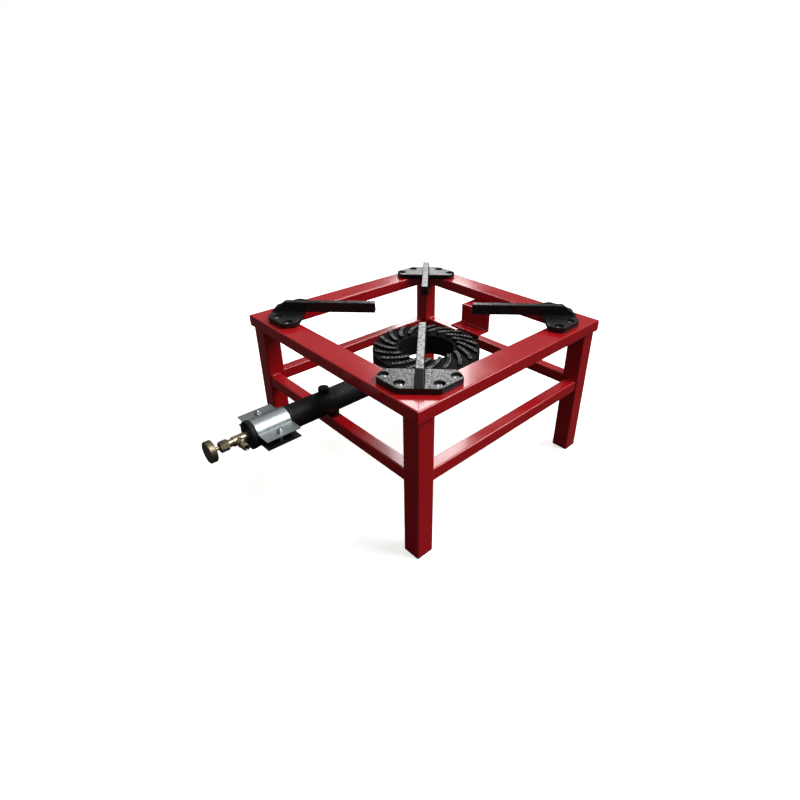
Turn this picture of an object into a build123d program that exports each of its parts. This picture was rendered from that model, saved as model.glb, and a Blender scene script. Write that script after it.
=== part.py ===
from build123d import *
import math
import os

# Portable gas stove: a welded stand of steel tube, four cast pan supports riveted to its corners,
# and one cast-iron ring burner whose mixing tube, air shutter and brass gas valve stick out at the front.
# Millimetres, +Z up, front towards -Y. Pieces are drawn about the middle of the stand, standing on Z = 0,
# and written about the middle of the whole stove's footprint.

# Stand
frame_width = 420.0
frame_height = 256.0
rail_width = 43.0
rail_height = 20.0
leg_size = 30.0
leg_inset = 4.0
lower_rail_size = 20.0
lower_rail_setback = 2.0
lower_rail_drop = 109.0
tube_wall = 1.5
tube_corner = 2.5
plug_flange = 2.0
plug_depth = 16.0
plug_wall = 2.0
plug_clearance = 0.1

# Pan supports and their rivets
plate_thickness = 9.0
plate_inner_margin = 16.5
plate_outer_margin = 15.0
plate_side_margin = 11.0
plate_edge_margin = 2.0
plate_lobe_length = 6.5
plate_corner = 9.0
arm_width = 13.0
arm_rise = 17.0
arm_slope_run = 23.0
arm_draft = 2.5
arm_tip_radius = 81.0
rivet_near_corner = 37.0
rivet_far_corner = 69.0
rivet_head_diameter = 12.5
rivet_head_height = 2.2
rivet_shank_diameter = 4.8
rivet_tail = 3.0
rivet_seat_diameter = 15.0
rivet_seat_depth = 5.5
rivet_clearance = 0.1
rivet_sides = 16

# Burner
burner_offset = 7.0
ring_radius = 94.0
ring_hole_radius = 49.0
ring_wall = 5.0
ring_depth = 31.0
ring_bottom_chamfer = 3.0
ring_lip = 3.5
head_thickness = 3.0
head_boss_depth = 5.0
rib_count = 24
rib_inner_margin = 5.0
rib_outer_margin = 4.0
rib_sweep = 40.0
rib_root_width = 6.2
rib_crest_width = 3.6
rib_inner_top = 9.8
rib_outer_top = 7.0
port_count = 6
port_width = 2.8
pillar_count = 3
pillar_diameter = 12.0
head_screw_diameter = 5.0
head_screw_spare = 1.0
tube_radius = 18.8
tube_bore_radius = 14.0
tube_overhang = 125.0
tube_cover = 1.4
foot_height = 9.0
foot_diameter = 18.0
boss_setback = 2.0
boss_diameter = 16.5
boss_height = 8.0
disc_radius = 21.0
disc_thickness = 6.0
window_start = 3.0
window_length = 26.0
window_height = 20.0
lug_width = 32.0
lug_depth = 17.0
lug_rise = 3.0
lug_clearance = 2.0
fixing_diameter = 6.0
fixing_thread_depth = 8.0
fixing_thread_spare = 1.0
bolt_clearance = 0.2
thread_clearance = 0.05

# Bracket that hangs the back of the burner from the back rail
bracket_width = 66.0
bracket_thickness = 4.0
bracket_gap = 32.5
bracket_foot_length = 28.5
bracket_weld_length = 22.0
bracket_bend = 2.0

# Air shutter
shutter_clearance = 0.3
shutter_sheet = 1.2
shutter_gap = 1.0
shutter_length = 52.0
shutter_half_gap = 6.0
shutter_half_width = 43.0
shutter_bolt_offset = 31.0
shutter_bolt_diameter = 5.0
shutter_bolt_spare = 2.0

# Gas valve
valve_body_diameter = 14.0
valve_body_length = 22.0
valve_branch_reach = 14.0
valve_branch_diameter = 12.0
valve_branch_length = 10.0
valve_spigot_diameter = 12.0
valve_spigot_reach = 2.0
bonnet_diameter = 11.0
bonnet_length = 12.0
packing_diameter = 8.0
packing_length = 7.0
gland_nut_flats = 14.0
gland_nut_length = 12.0
gland_nut_wall = 6.5
spindle_diameter = 5.0
spindle_clearance = 0.08
seat_depth = 9.0
seat_diameter = 2.4
needle_slope = 0.5
needle_tip_radius = 0.45
gas_way_diameter = 4.5
injector_socket_diameter = 7.0
injector_socket_depth = 8.0
injector_flats = 9.0
injector_hex_length = 5.0
injector_nose_length = 6.0
injector_nose_base_radius = 4.4
injector_nose_radius = 2.2
injector_bore_diameter = 3.0
injector_orifice_diameter = 1.5
nozzle_collar_diameter = 12.5
nozzle_collar_length = 3.0
nozzle_root_diameter = 8.8
nozzle_crest_diameter = 10.6
nozzle_barb_count = 2
nozzle_barb_land = 2.0
nozzle_barb_slope = 3.0
nozzle_thread_diameter = 8.0
nozzle_thread_length = 6.0
nozzle_bore_diameter = 5.0
knob_gap = 8.0
knob_diameter = 31.0
knob_thickness = 9.5
knob_chamfer = 1.2
knob_bore_depth = 6.0
knob_end_gap = 0.1
knob_screw_diameter = 3.0
knob_screw_length = 9.0
knob_screw_spare = 1.0
knob_screw_head_diameter = 6.0
knob_screw_slot = 0.8

# Hexagon heads and nuts: across flats and height as shares of the thread diameter
hex_flats_ratio = 1.65
hex_height_ratio = 0.7

# How far a cutting shape runs past the face it opens
cut_margin = 1.0

# Places worked out from the sizes above
frame_half = frame_width / 2
rail_mid = frame_half - rail_width / 2
rail_bottom = frame_height - rail_height
leg_mid = frame_half - leg_inset - leg_size / 2
leg_inner_face = leg_mid - leg_size / 2
lower_rail_mid = frame_half - leg_inset - lower_rail_setback - lower_rail_size / 2
lower_rail_top = frame_height - lower_rail_drop
corner_mid = rail_mid * math.sqrt(2)
plate_top = frame_height + plate_thickness
axis_z = lower_rail_top + foot_height + tube_radius
head_joint = axis_z + tube_radius + tube_cover
ring_bottom = head_joint - ring_depth
ring_mid_radius = (ring_radius + ring_hole_radius) / 2
rib_inner_radius = ring_hole_radius + rib_inner_margin
rib_outer_radius = ring_radius - rib_outer_margin
disc_front = -frame_half - tube_overhang
disc_back = disc_front + disc_thickness
bracket_web = burner_offset + ring_radius + bracket_gap
lug_top = head_joint + lug_rise
bracket_foot_top = lug_top + bracket_thickness
lug_bottom = lug_top - lug_depth
lug_end = bracket_web - lug_clearance
rear_bolt_y = bracket_web - bracket_foot_length / 2
shutter_front = disc_back + shutter_gap
shutter_mid = shutter_front + shutter_length / 2
shutter_radius = tube_radius + shutter_clearance
valve_front = disc_front - valve_body_length
branch_y = disc_front - valve_branch_reach
bonnet_end = valve_front - bonnet_length
seat_y = disc_front - seat_depth
nut_front = bonnet_end - gland_nut_wall
knob_back = nut_front - knob_gap
knob_front = knob_back - knob_thickness
spindle_end = knob_back - knob_bore_depth
origin_y = (knob_front + frame_half) / 2

sides = {"front": 0, "right": 90, "back": 180, "left": 270}
corners = {"front_right": -45, "back_right": 45, "back_left": 135, "front_left": 225}
upward = (Align.CENTER, Align.CENTER, Align.MIN)


def box_between(x, y, z):
    """A box from its low and high limits along each axis."""
    size = [high - low for low, high in (x, y, z)]
    return Pos(x[0], y[0], z[0]) * Box(*size, align=(Align.MIN, Align.MIN, Align.MIN))


def upright(radius, x, y, bottom, top):
    """A vertical cylinder."""
    return Pos(x, y, bottom) * Cylinder(radius, top - bottom, align=upward)


def along_tube(shape, y):
    """Lays a shape drawn up the Z axis along +Y on the mixing tube's axis, starting at y."""
    return Pos(0, y, axis_z) * Rot(-90, 0, 0) * shape


def tube_rod(radius, front, back):
    """A cylinder on the mixing tube's axis."""
    return along_tube(Cylinder(radius, back - front, align=upward), front)


def branch_rod(radius, start, end):
    """A cylinder along +X on the axis of the valve's side branch."""
    return Pos(start, branch_y, axis_z) * Rot(0, 90, 0) * Cylinder(radius, end - start, align=upward)


def hexagon(flats, height):
    """A hexagonal prism standing on Z = 0."""
    outline = RegularPolygon(flats / 2, 6, major_radius=False)
    return extrude(outline, height, dir=(0, 0, 1))


def hex_head(diameter):
    return hexagon(diameter * hex_flats_ratio, diameter * hex_height_ratio)


def upward_bolt(diameter, x, y, seat, end):
    """A hexagon bolt put in from below: its head sits under the seat height."""
    head = Pos(x, y, seat - diameter * hex_height_ratio) * hex_head(diameter)
    return head + upright(diameter / 2, x, y, seat, end)


def few_sided_rod(radius, x, y, bottom, top):
    """A vertical rod with few sides, for the round forms of the rivets, which repeat."""
    outline = Pos(x, y, bottom) * RegularPolygon(radius, rivet_sides)
    return extrude(outline, top - bottom, dir=(0, 0, 1))


def rounded_tube(width, height, length):
    """A hollow tube along X, centred, with rounded outer corners."""
    outer = Plane.YZ * RectangleRounded(width, height, tube_corner)
    inner = Plane.YZ * Rectangle(width - 2 * tube_wall, height - 2 * tube_wall)
    return extrude(outer - inner, length / 2, both=True)


def rivet_places():
    """Where the rivets stand on the front rail, from the left corner to the right one."""
    reach = [rail_mid - rivet_far_corner, rail_mid - rivet_near_corner]
    return [(side * x, -rail_mid) for side in (-1, 1) for x in reach]


# Stand
def top_rail(angle):
    """One rail of the top square, mitred at both ends, with the holes for its rivets."""
    inner = frame_half - rail_width
    outline = Polyline(
        (-frame_half, -frame_half), (frame_half, -frame_half), (inner, -inner), (-inner, -inner), close=True
    )
    wedge = extrude(make_face(outline), frame_height, dir=(0, 0, 1))
    tube = rounded_tube(rail_width, rail_height, frame_width)
    rail = Pos(0, -rail_mid, frame_height - rail_height / 2) * tube & wedge
    for x, y in rivet_places():
        hole_radius = rivet_shank_diameter / 2 + rivet_clearance
        rail -= few_sided_rod(hole_radius, x, y, frame_height - 2 * tube_wall, frame_height + tube_wall)
    return Rot(0, 0, angle) * rail


def leg(angle):
    """One upright, from its plug to the underside of the top square."""
    length = rail_bottom - plug_flange
    tube = Rot(0, 90, 0) * rounded_tube(leg_size, leg_size, length)
    reach = leg_mid * math.sqrt(2)
    return Rot(0, 0, angle) * Pos(reach, 0, plug_flange + length / 2) * Rot(0, 0, 45) * tube


def leg_plug(angle):
    """A plastic plug: a square flange under the leg and a hollow stem pushed up inside it."""
    stem_size = leg_size - 2 * tube_wall - 2 * plug_clearance
    flange = extrude(RectangleRounded(leg_size, leg_size, tube_corner), plug_flange)
    stem = Rectangle(stem_size, stem_size) - Rectangle(stem_size - 2 * plug_wall, stem_size - 2 * plug_wall)
    plug = flange + Pos(0, 0, plug_flange) * extrude(stem, plug_depth)
    reach = leg_mid * math.sqrt(2)
    return Rot(0, 0, angle) * Pos(reach, 0, 0) * Rot(0, 0, 45) * plug


def lower_rail(side, angle):
    """One rail of the lower square, between two legs; the front one is drilled for the burner's bolt."""
    z = lower_rail_top - lower_rail_size / 2
    tube = rounded_tube(lower_rail_size, lower_rail_size, 2 * leg_inner_face)
    rail = Rot(0, 0, angle) * Pos(0, -lower_rail_mid, z) * tube
    if side == "front":
        hole_radius = fixing_diameter / 2 + bolt_clearance
        rail -= upright(hole_radius, 0, -lower_rail_mid, z - lower_rail_size, z + lower_rail_size)
    return rail


def rear_burner_bracket():
    """A bent strap: welded under the back rail, down, then forward to the burner's lug."""
    weld_end = frame_half - rail_width + bracket_weld_length
    foot_end = bracket_web - bracket_foot_length
    web_back = bracket_web + bracket_thickness
    outline = Polyline(
        (weld_end, rail_bottom),
        (bracket_web, rail_bottom),
        (bracket_web, bracket_foot_top),
        (foot_end, bracket_foot_top),
        (foot_end, lug_top),
        (web_back, lug_top),
        (web_back, rail_bottom - bracket_thickness),
        (weld_end, rail_bottom - bracket_thickness),
        close=True,
    )
    face = make_face(Plane.YZ * outline)
    strap = extrude(face, bracket_width / 2, both=True)
    bends = strap.edges().filter_by(Axis.X).filter_by_position(
        Axis.Y, foot_end, weld_end, inclusive=(False, False)
    )
    strap = fillet(bends, bracket_bend)
    thread_radius = fixing_diameter / 2 + thread_clearance
    return strap - upright(thread_radius, 0, rear_bolt_y, lug_top - cut_margin, bracket_foot_top + cut_margin)


# Pan supports
def rivets_from_corner():
    """Rivet places on a support's own axes: along the corner's diagonal, and across it."""
    steps = (rivet_far_corner, rivet_near_corner)
    return [(corner_mid - step / math.sqrt(2), step / math.sqrt(2)) for step in steps]


def pan_support(angle):
    """A cast plate on the frame's corner with an arm that rises from its outer edge and runs inwards."""
    (inner_u, inner_w), (outer_u, outer_w) = rivets_from_corner()
    inner_edge = inner_u - plate_inner_margin
    outer_edge = outer_u + plate_outer_margin
    half = [
        (inner_edge, inner_w + plate_edge_margin),
        (inner_u + plate_lobe_length, inner_w + plate_side_margin),
        (outer_edge, outer_w + plate_edge_margin),
    ]
    other_half = [(u, -w) for u, w in reversed(half)]
    outline = make_face(Polyline(*half, *other_half, close=True))
    outline = fillet(outline.vertices(), plate_corner)
    plate = Pos(0, 0, frame_height) * extrude(outline, plate_thickness, dir=(0, 0, 1))

    arm_length = outer_edge - arm_tip_radius
    footprint = Pos(arm_tip_radius + arm_length / 2, 0, plate_top) * Rectangle(arm_length, arm_width)
    arm = extrude(footprint, arm_rise, taper=arm_draft, dir=(0, 0, 1))
    arm_top = plate_top + arm_rise
    slope = Polyline(
        (outer_edge + cut_margin, plate_top),
        (outer_edge, plate_top),
        (outer_edge - arm_slope_run, arm_top),
        (outer_edge + cut_margin, arm_top),
        close=True,
    )
    arm -= extrude(make_face(Plane.XZ * slope), arm_width, both=True)

    support = plate + arm
    for u, w in rivets_from_corner():
        for side in (-1, 1):
            hole_radius = rivet_shank_diameter / 2 + rivet_clearance
            seat = plate_top - rivet_seat_depth
            support -= few_sided_rod(hole_radius, u, side * w, frame_height - cut_margin, plate_top)
            support -= few_sided_rod(rivet_seat_diameter / 2, u, side * w, seat, plate_top + cut_margin)
    return Rot(0, 0, angle) * support


def rivet():
    """A blind rivet standing on the support's seat, its tail through the rail's wall."""
    seat = plate_top - rivet_seat_depth
    head = few_sided_rod(rivet_head_diameter / 2, 0, 0, seat, seat + rivet_head_height)
    tail_end = frame_height - tube_wall - rivet_tail
    return head + few_sided_rod(rivet_shank_diameter / 2, 0, 0, tail_end, seat)


def support_rivets():
    rivets = []
    for angle in sides.values():
        for x, y in rivet_places():
            rivets.append(Rot(0, 0, angle) * Pos(x, y, 0) * rivet())
    return Compound(rivets)


# Burner
def pillar_places():
    """Where the screws that hold the head stand, the first one at the back."""
    places = []
    for k in range(pillar_count):
        angle = math.radians(90 + 360 * k / pillar_count)
        x = ring_mid_radius * math.cos(angle)
        places.append((x, burner_offset + ring_mid_radius * math.sin(angle)))
    return places


def ring_profile(points):
    """A solid of revolution about the burner's axis from (radius, height) points."""
    outline = make_face(Plane.XZ * Polyline(*points, close=True))
    return Pos(0, burner_offset, 0) * revolve(outline, Axis.Z)


def rib_point(share):
    """A point on a rib's centre line, from its inner end to its outer end, clockwise from above."""
    radius = rib_inner_radius + (rib_outer_radius - rib_inner_radius) * share
    angle = math.radians(-rib_sweep * share)
    return Vector(radius * math.cos(angle), radius * math.sin(angle))


def swirl_rib():
    """One raised rib: a curved band with leaning sides, whose top falls towards the rim."""
    root = head_joint + head_thickness / 2
    inner_end = rib_point(0) + Vector(0, 0, head_joint + rib_inner_top)
    outer_end = rib_point(1) + Vector(0, 0, head_joint + rib_outer_top)
    fall = outer_end - inner_end
    level = Vector(-fall.Y, fall.X)
    slope = Plane(inner_end, x_dir=level, z_dir=fall.cross(level))
    spine = ThreePointArc(rib_point(0), rib_point(0.5), rib_point(1))
    foot = Pos(0, 0, root) * trace(spine, rib_root_width)
    crest = Pos(0, 0, inner_end.Z) * trace(spine, rib_crest_width)
    rib = loft([foot.face(), crest.face()], ruled=True)
    return split(rib, bisect_by=slope, keep=Keep.BOTTOM)


def port_prism(share):
    """The space of one port: a square hole down through a rib and the head."""
    place = rib_point(share)
    turn = math.degrees(math.atan2(place.Y, place.X)) - rib_sweep
    height = rib_inner_top + 2 * cut_margin
    prism = Box(port_width, port_width, height, align=upward)
    return Pos(place.X, place.Y, head_joint - cut_margin) * Rot(0, 0, turn) * prism


def burner_head():
    """The cast top: a ring with swirl ribs, drilled along each rib, and bosses for its screws."""
    head_top = head_joint + head_thickness
    head = upright(ring_radius, 0, burner_offset, head_joint, head_top)
    head -= upright(ring_hole_radius, 0, burner_offset, head_joint - cut_margin, head_top + cut_margin)
    turns = [Pos(0, burner_offset, 0) * Rot(0, 0, 360 * k / rib_count) for k in range(rib_count)]
    rib = swirl_rib()
    head += [turn * rib for turn in turns]
    shares = [(k + 0.5) / port_count for k in range(port_count)]
    ports = [port_prism(share) for share in shares]
    head -= [turn * port for turn in turns for port in ports]
    for x, y in pillar_places():
        head += upright(pillar_diameter / 2, x, y, head_joint - head_boss_depth, head_joint)
        thread_radius = head_screw_diameter / 2 + thread_clearance
        head -= upright(thread_radius, x, y, head_joint - head_boss_depth, head_joint + head_screw_spare)
    return head


def burner_body():
    """The cast bowl and its mixing tube, with the front disc, air windows, top boss, foot and rear lug."""
    body = ring_profile([
        (ring_hole_radius, ring_bottom - ring_lip),
        (ring_hole_radius + ring_wall, ring_bottom - ring_lip),
        (ring_hole_radius + ring_wall, ring_bottom),
        (ring_radius - ring_bottom_chamfer, ring_bottom),
        (ring_radius, ring_bottom + ring_bottom_chamfer),
        (ring_radius, head_joint),
        (ring_hole_radius, head_joint),
    ])
    neck_end = burner_offset - ring_mid_radius
    body += tube_rod(tube_radius, disc_back, neck_end)
    body += Pos(0, neck_end, axis_z) * Sphere(tube_radius)
    body += upright(foot_diameter / 2, 0, -lower_rail_mid, lower_rail_top, axis_z)
    boss_y = boss_setback - frame_half
    body += upright(boss_diameter / 2, 0, boss_y, axis_z, axis_z + tube_radius + boss_height)
    lug_start = burner_offset + ring_radius - ring_wall
    body += box_between((-lug_width / 2, lug_width / 2), (lug_start, lug_end), (lug_bottom, lug_top))
    body -= upright(ring_radius + bolt_clearance, 0, burner_offset, head_joint, lug_top + cut_margin)

    trough = ring_profile([
        (ring_hole_radius + ring_wall, ring_bottom + ring_wall),
        (ring_radius - ring_wall, ring_bottom + ring_wall),
        (ring_radius - ring_wall, head_joint + cut_margin),
        (ring_hole_radius + ring_wall, head_joint + cut_margin),
    ])
    body -= trough
    body -= tube_rod(tube_bore_radius, disc_back, neck_end)
    body += tube_rod(disc_radius, disc_front, disc_back)
    spigot_radius = valve_spigot_diameter / 2 + thread_clearance
    body -= tube_rod(spigot_radius, disc_front - cut_margin, disc_back + cut_margin)

    window = (disc_back + window_start, disc_back + window_start + window_length)
    half_height = window_height / 2
    body -= box_between((-ring_radius, ring_radius), window, (axis_z - half_height, axis_z + half_height))

    for x, y in pillar_places():
        body += upright(pillar_diameter / 2, x, y, ring_bottom + ring_wall, head_joint - head_boss_depth)
        body -= upright(head_screw_diameter / 2 + bolt_clearance, x, y, ring_bottom - cut_margin, head_joint)
    thread_radius = fixing_diameter / 2 + thread_clearance
    thread_end = lower_rail_top + fixing_thread_depth
    body -= upright(thread_radius, 0, -lower_rail_mid, lower_rail_top - cut_margin, thread_end)
    bolt_radius = fixing_diameter / 2 + bolt_clearance
    body -= upright(bolt_radius, 0, rear_bolt_y, lug_bottom - cut_margin, lug_top + cut_margin)
    return body


def burner_head_screws():
    screws = [upward_bolt(head_screw_diameter, x, y, ring_bottom, head_joint) for x, y in pillar_places()]
    return Compound(screws)


def burner_front_bolt():
    """Holds the mixing tube's foot down on the front lower rail."""
    seat = lower_rail_top - lower_rail_size
    end = lower_rail_top + fixing_thread_depth - fixing_thread_spare
    return upward_bolt(fixing_diameter, 0, -lower_rail_mid, seat, end)


def burner_rear_bolt():
    """Holds the burner's lug up against the bracket."""
    return upward_bolt(fixing_diameter, 0, rear_bolt_y, lug_bottom, bracket_foot_top)


# Air shutter
def shutter_half(direction):
    """One bent sheet shell over half the mixing tube, with a flange along each side."""
    outer_radius = shutter_radius + shutter_sheet
    shell = Circle(outer_radius) - Circle(shutter_radius)
    shell &= Pos(0, shutter_half_gap + outer_radius / 2) * Rectangle(2 * outer_radius, outer_radius)
    root = math.sqrt(shutter_radius**2 - shutter_half_gap**2)
    flange_width = shutter_half_width - root
    for side in (-1, 1):
        centre = (side * (root + flange_width / 2), shutter_half_gap + shutter_sheet / 2)
        flange = Pos(*centre) * Rectangle(flange_width, shutter_sheet)
        shell += flange - Circle(shutter_radius)
    section = Plane((0, shutter_front, axis_z), x_dir=(1, 0, 0), z_dir=(0, -1, 0)) * shell
    half = extrude(section, -shutter_length)
    for side in (-1, 1):
        radius = shutter_bolt_diameter / 2 + bolt_clearance
        half -= upright(radius, side * shutter_bolt_offset, shutter_mid, axis_z, axis_z + tube_radius)
    if direction < 0:
        half = mirror(half, Plane((0, 0, axis_z)))
    return half


def shutter_bolts():
    """Two bolts put in from below, through both pairs of flanges."""
    reach = shutter_half_gap + shutter_sheet
    top = axis_z + reach + shutter_bolt_diameter * hex_height_ratio + shutter_bolt_spare
    bolts = [
        upward_bolt(shutter_bolt_diameter, side * shutter_bolt_offset, shutter_mid, axis_z - reach, top)
        for side in (-1, 1)
    ]
    return Compound(bolts)


def shutter_nuts():
    nut = hex_head(shutter_bolt_diameter)
    nut -= Cylinder(shutter_bolt_diameter / 2 + thread_clearance, shutter_bolt_diameter * 2)
    seat = axis_z + shutter_half_gap + shutter_sheet
    return Compound([Pos(side * shutter_bolt_offset, shutter_mid, seat) * nut for side in (-1, 1)])


# Gas valve
def valve_body():
    """The brass body: spigot through the front disc, side branch, and bonnet for the gland."""
    body = tube_rod(valve_body_diameter / 2, valve_front, disc_front)
    body += tube_rod(valve_spigot_diameter / 2, disc_front, disc_back + valve_spigot_reach)
    body += tube_rod(bonnet_diameter / 2, bonnet_end, valve_front)
    body += branch_rod(valve_branch_diameter / 2, 0, valve_branch_length)
    spindle_bore = spindle_diameter / 2 + spindle_clearance
    body -= tube_rod(spindle_bore, bonnet_end, seat_y)
    body -= tube_rod(packing_diameter / 2, bonnet_end, bonnet_end + packing_length)
    body -= tube_rod(seat_diameter / 2, seat_y, disc_back + valve_spigot_reach)
    socket_start = disc_back + valve_spigot_reach - injector_socket_depth
    body -= tube_rod(injector_socket_diameter / 2, socket_start, disc_back + valve_spigot_reach)
    body -= branch_rod(gas_way_diameter / 2, 0, valve_branch_length)
    thread_start = valve_branch_length - nozzle_thread_length
    body -= branch_rod(nozzle_thread_diameter / 2 + thread_clearance, thread_start, valve_branch_length)
    return body


def injector_jet():
    """The brass jet on the valve's spigot, pointing down the mixing tube."""
    seat = disc_back + valve_spigot_reach
    nose_start = seat + injector_hex_length
    nose_end = nose_start + injector_nose_length
    jet = tube_rod(injector_socket_diameter / 2 - thread_clearance, seat - injector_socket_depth, seat)
    jet += along_tube(hexagon(injector_flats, injector_hex_length), seat)
    nose = Cone(injector_nose_base_radius, injector_nose_radius, injector_nose_length, align=upward)
    jet += along_tube(nose, nose_start)
    jet -= tube_rod(injector_bore_diameter / 2, seat - injector_socket_depth, nose_start)
    return jet - tube_rod(injector_orifice_diameter / 2, nose_start - cut_margin, nose_end)


def hose_nozzle():
    """The barbed nozzle for a gas hose, screwed into the valve's branch."""
    thread_start = valve_branch_length - nozzle_thread_length
    collar_end = valve_branch_length + nozzle_collar_length
    nozzle = branch_rod(nozzle_thread_diameter / 2, thread_start, valve_branch_length)
    nozzle += branch_rod(nozzle_collar_diameter / 2, valve_branch_length, collar_end)
    x = collar_end + nozzle_barb_land
    nozzle += branch_rod(nozzle_root_diameter / 2, collar_end, x)
    for _ in range(nozzle_barb_count):
        nozzle += branch_rod(nozzle_crest_diameter / 2, x, x + nozzle_barb_land)
        slope = Cone(nozzle_crest_diameter / 2, nozzle_root_diameter / 2, nozzle_barb_slope, align=upward)
        nozzle += Pos(x + nozzle_barb_land, branch_y, axis_z) * Rot(0, 90, 0) * slope
        x += nozzle_barb_land + nozzle_barb_slope
    return nozzle - branch_rod(nozzle_bore_diameter / 2, 0, x + cut_margin)


def gland_packing():
    packing_end = bonnet_end + packing_length
    ring = tube_rod(packing_diameter / 2, bonnet_end, packing_end)
    bore_radius = spindle_diameter / 2 + spindle_clearance
    return ring - tube_rod(bore_radius, bonnet_end - cut_margin, packing_end + cut_margin)


def gland_nut():
    """The hexagon cap nut over the bonnet, which presses on the packing."""
    nut = along_tube(hexagon(gland_nut_flats, gland_nut_length), nut_front)
    nut_back = nut_front + gland_nut_length
    nut -= tube_rod(bonnet_diameter / 2 + thread_clearance, bonnet_end, nut_back)
    return nut - tube_rod(spindle_diameter / 2 + spindle_clearance, nut_front, nut_back)


def valve_spindle():
    """The spindle: a needle at the seat and a tapped front end for the knob's screw."""
    radius = spindle_diameter / 2
    seat_radius = seat_diameter / 2 - spindle_clearance
    needle_start = seat_y - (radius - seat_radius) / needle_slope
    needle_end = seat_y + (seat_radius - needle_tip_radius) / needle_slope
    spindle = tube_rod(radius, spindle_end, needle_start)
    needle = Cone(radius, needle_tip_radius, needle_end - needle_start, align=upward)
    spindle += along_tube(needle, needle_start)
    hole_end = knob_front + knob_screw_length + knob_screw_spare
    return spindle - tube_rod(knob_screw_diameter / 2 + spindle_clearance, spindle_end, hole_end)


def knob():
    """A thick round brass hand knob with a blind bore for the spindle and a countersunk screw hole."""
    disc = Cylinder(knob_diameter / 2, knob_thickness, align=upward)
    disc = chamfer(disc.edges(), knob_chamfer)
    disc = along_tube(disc, knob_front)
    disc -= tube_rod(spindle_diameter / 2 + spindle_clearance, spindle_end - knob_end_gap, knob_back)
    disc -= tube_rod(knob_screw_diameter / 2 + bolt_clearance, knob_front, knob_back)
    return disc - knob_screw_head(bolt_clearance)


def knob_screw_head(clearance):
    """The countersunk head's space, flush with the knob's front face."""
    head_radius = knob_screw_head_diameter / 2 + clearance
    shank_radius = knob_screw_diameter / 2 + clearance
    return along_tube(Cone(head_radius, shank_radius, head_radius - shank_radius, align=upward), knob_front)


def knob_screw():
    """The slotted screw that holds the knob on the spindle."""
    screw = knob_screw_head(0) + tube_rod(knob_screw_diameter / 2, knob_front, knob_front + knob_screw_length)
    slot = Box(knob_screw_head_diameter, knob_screw_slot, 2 * knob_screw_slot)
    return screw - along_tube(slot, knob_front)


def build_nodes():
    """Every piece of the stove by name."""
    nodes = {}
    for side, angle in sides.items():
        nodes[f"top_rail_{side}"] = top_rail(angle)
        nodes[f"lower_rail_{side}"] = lower_rail(side, angle)
    for corner, angle in corners.items():
        nodes[f"leg_{corner}"] = leg(angle)
        nodes[f"leg_plug_{corner}"] = leg_plug(angle)
        nodes[f"pan_support_{corner}"] = pan_support(angle)
    nodes["support_rivets"] = support_rivets()
    nodes["rear_burner_bracket"] = rear_burner_bracket()
    nodes["burner_head"] = burner_head()
    nodes["burner_body"] = burner_body()
    nodes["burner_head_screws"] = burner_head_screws()
    nodes["burner_front_bolt"] = burner_front_bolt()
    nodes["burner_rear_bolt"] = burner_rear_bolt()
    nodes["shutter_upper_shell"] = shutter_half(1)
    nodes["shutter_lower_shell"] = shutter_half(-1)
    nodes["shutter_bolts"] = shutter_bolts()
    nodes["shutter_nuts"] = shutter_nuts()
    nodes["valve_body"] = valve_body()
    nodes["injector_jet"] = injector_jet()
    nodes["hose_nozzle"] = hose_nozzle()
    nodes["gland_packing"] = gland_packing()
    nodes["gland_nut"] = gland_nut()
    nodes["valve_spindle"] = valve_spindle()
    nodes["knob"] = knob()
    nodes["knob_screw"] = knob_screw()
    return nodes


os.makedirs("parts", exist_ok=True)
for name, shape in build_nodes().items():
    export_step(Pos(0, -origin_y, 0) * shape, f"parts/{name}.step")
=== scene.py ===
import math

import bmesh
import bpy
from mathutils import Matrix, Vector


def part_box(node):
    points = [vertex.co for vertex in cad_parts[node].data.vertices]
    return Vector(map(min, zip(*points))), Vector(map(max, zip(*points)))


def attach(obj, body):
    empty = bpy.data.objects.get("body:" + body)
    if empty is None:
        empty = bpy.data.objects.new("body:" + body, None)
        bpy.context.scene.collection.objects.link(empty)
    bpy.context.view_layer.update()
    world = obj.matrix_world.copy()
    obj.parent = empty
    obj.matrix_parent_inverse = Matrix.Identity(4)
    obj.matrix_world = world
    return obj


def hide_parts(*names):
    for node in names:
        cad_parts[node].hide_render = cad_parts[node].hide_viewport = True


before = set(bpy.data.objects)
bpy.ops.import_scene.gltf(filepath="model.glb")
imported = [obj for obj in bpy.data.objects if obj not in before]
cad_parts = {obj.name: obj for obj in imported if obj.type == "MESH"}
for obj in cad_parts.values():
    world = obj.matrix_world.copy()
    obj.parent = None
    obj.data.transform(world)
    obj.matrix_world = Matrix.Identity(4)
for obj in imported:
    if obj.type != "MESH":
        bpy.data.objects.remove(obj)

bl_info = {
    "name": "Portable gas stove",
    "version": (1, 0, 0),
    "blender": (4, 5, 0),
    "location": "View3D > Sidebar > Stove",
    "description": "Dresses the solids of a portable gas stove with finished pieces, materials and a studio",
    "category": "Object",
}

MM = 0.001
STAND = "stand_and_burner"
SHUTTER = "air_shutter"
SPINDLE = "spindle"
KNOB = "knob"

SIDES = {"front": 0, "right": 90, "back": 180, "left": 270}
CORNERS = ("front_right", "back_right", "back_left", "front_left")
HEAD_SCREWS = 3

# Proportions of fasteners, as shares of the thread's diameter, the width over flats or the pitch
HEAD_HEIGHT = 0.7
HEAD_FLATS = 1.65
CHAMFER_RIM = 0.96
PLAIN_SHANK = 0.5
THREAD_DEPTH = 0.55
THREAD_END = 0.2
CHAMFER_ANGLE = math.radians(30)

# Small room between fasteners and their holes, and the chamfer at a nut's mouth
SCREW_ROOM = 0.1 * MM
NUT_ROOM = 0.05 * MM
NUT_MOUTH = 0.4 * MM

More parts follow.
